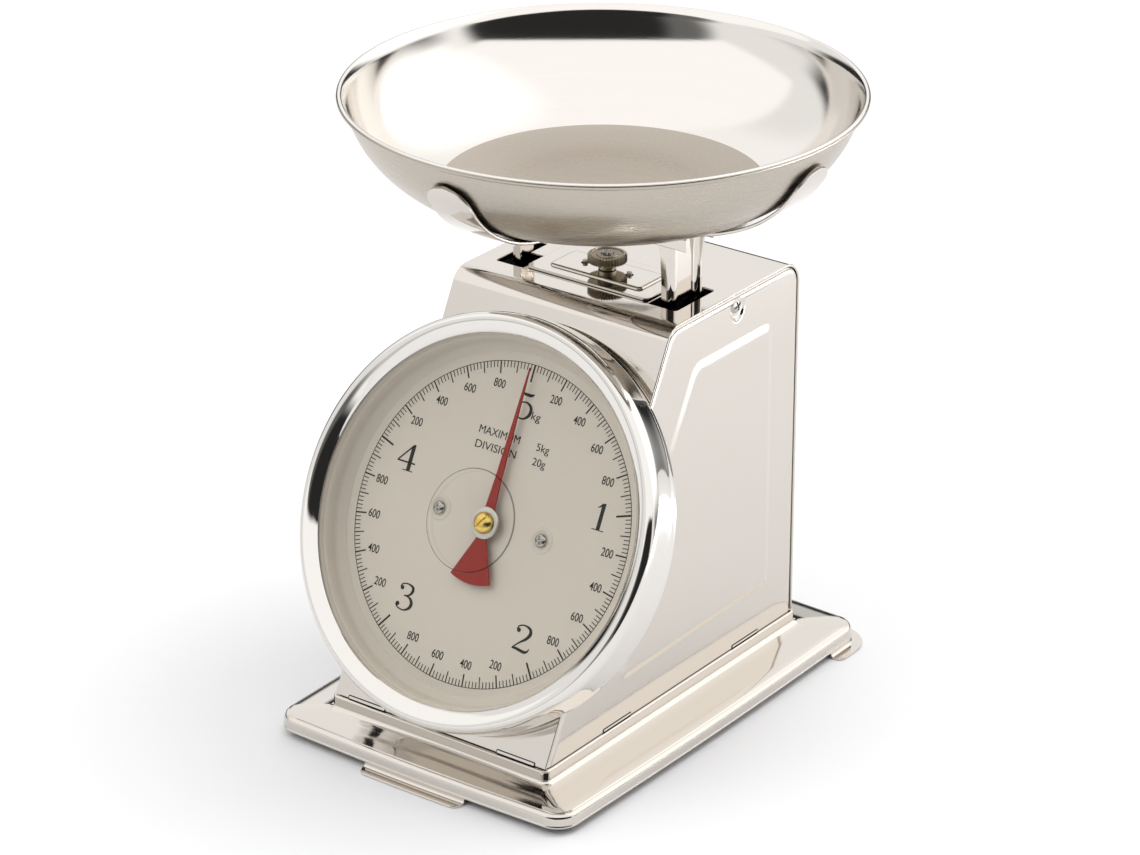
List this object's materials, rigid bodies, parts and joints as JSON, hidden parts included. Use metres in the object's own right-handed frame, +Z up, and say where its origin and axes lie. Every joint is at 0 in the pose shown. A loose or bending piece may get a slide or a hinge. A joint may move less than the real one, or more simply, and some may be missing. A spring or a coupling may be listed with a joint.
{
  "type": "kitchen scale",
  "caption": "Dial kitchen scale with a lift-off round bowl, a slanted round dial with a turning pointer, a sprung platform and a knurled zero-setting knob.",
  "frame": {"origin": "on the table, at the centre of the whole scale's bounding box", "axes": "+Z up; +X to the right when facing the dial; the dial faces -Y and leans back towards +Y"},
  "size_m": [0.23, 0.2584, 0.2813],
  "materials": {
    "polished_steel": "mirror-polished stainless steel",
    "chrome": "bright chrome plate",
    "satin_steel": "satin brushed stainless steel",
    "dial_paint": "matt beige-grey dial paint with black print",
    "clear_lens": "clear moulded plastic",
    "red_paint": "satin red paint",
    "nickel": "dull nickel-plated brass",
    "brass": "turned brass",
    "spring_steel": "oiled spring steel",
    "zinc_plate": "zinc-plated steel"
  },
  "bodies": {
    "housing": {"base_tray": "polished_steel", "body_shell": "polished_steel", "side_panel_left": "polished_steel", "side_panel_right": "polished_steel", "side_screw_left": "chrome", "side_screw_right": "chrome", "bezel_ring": "chrome", "dial_pan": "zinc_plate", "dial_plate": "dial_paint", "dial_glass": "clear_lens", "dial_screw_left": "chrome", "dial_screw_right": "chrome", "pinion_frame": "zinc_plate", "shaft_bush_front": "brass", "shaft_bush_back": "brass", "rack_guide": "brass", "chassis": "zinc_plate", "lever_pin_upper": "spring_steel", "lever_pin_lower": "spring_steel", "spring_bridge": "polished_steel", "spring_left": "spring_steel", "spring_right": "spring_steel"},
    "platform": {"carrier_beam": "polished_steel", "post_left": "polished_steel", "post_right": "polished_steel", "post_rivet_left": "zinc_plate", "post_rivet_right": "zinc_plate", "seat_rivet_left": "zinc_plate", "seat_rivet_right": "zinc_plate", "cross_arm_x": "polished_steel", "cross_arm_y": "polished_steel", "carrier_crossbar": "zinc_plate", "crossbar_screw_left": "zinc_plate", "crossbar_screw_right": "zinc_plate", "rack_bar": "zinc_plate", "rack_bar_screw_left": "zinc_plate", "rack_bar_screw_right": "zinc_plate", "rack_pin": "spring_steel", "carrier_pin_upper_left": "spring_steel", "carrier_pin_upper_right": "spring_steel", "carrier_pin_lower_left": "spring_steel", "carrier_pin_lower_right": "spring_steel"},
    "bowl": {"bowl": "satin_steel"},
    "upper_lever": {"upper_lever": "zinc_plate"},
    "lower_lever": {"lower_lever": "zinc_plate"},
    "rack": {"rack": "zinc_plate"},
    "pointer": {"pointer": "red_paint", "pinion_shaft": "brass", "hub_washer": "zinc_plate", "hub_screw": "brass"},
    "zero_rod": {"zero_rod": "spring_steel", "spring_hanger": "zinc_plate"},
    "zero_knob": {"zero_knob": "nickel"}
  },
  "joints": [
    {"name": "platform_travel", "type": "slide", "parent": "housing", "child": "platform", "axis": [0, 0, -1], "range_m": [0, 0.01674], "stiffness_N_per_m": 2930, "springref_m": -0.004, "deforming": ["spring_left", "spring_right"]},
    {"name": "bowl_lift", "type": "slide", "parent": "platform", "child": "bowl", "axis": [0, 0, 1], "range_m": [0, 0.12]},
    {"name": "rack_slide", "type": "slide", "parent": "housing", "child": "rack", "axis": [0, -0.4599, -0.888], "range_m": [0, 0.01886]},
    {"name": "pointer_spin", "type": "hinge", "parent": "housing", "child": "pointer", "pos_m": [0, -0.06265, 0.10242], "axis": [0, 0.888, -0.4599], "range_deg": [0, 360.2]},
    {"name": "upper_lever_swing", "type": "hinge", "parent": "housing", "child": "upper_lever", "pos_m": [0, 0.066, 0.15163], "axis": [1, 0, 0], "range_deg": [0, 18.64]},
    {"name": "lower_lever_swing", "type": "hinge", "parent": "housing", "child": "lower_lever", "pos_m": [0, 0.066, 0.06663], "axis": [1, 0, 0], "range_deg": [0, 18.64]},
    {"name": "zero_lift", "type": "slide", "parent": "housing", "child": "zero_rod", "axis": [0, 0, 1], "range_m": [-0.0016, 0.0016]},
    {"name": "zero_turn", "type": "hinge", "parent": "housing", "child": "zero_knob", "pos_m": [0, 0.0177, 0.202], "axis": [0, 0, 1], "range_deg": [-720, 720]}
  ],
  "couplings": [
    {"joint": "rack_slide", "follows": "platform_travel", "ratio": 1.1262},
    {"joint": "pointer_spin", "follows": "platform_travel", "rad_per_m": 375.39},
    {"joint": "upper_lever_swing", "follows": "platform_travel", "rad_per_m": 19.39},
    {"joint": "lower_lever_swing", "follows": "platform_travel", "rad_per_m": 19.39},
    {"joint": "zero_lift", "follows": "zero_turn", "m_per_rad": 0.00012732}
  ]
}
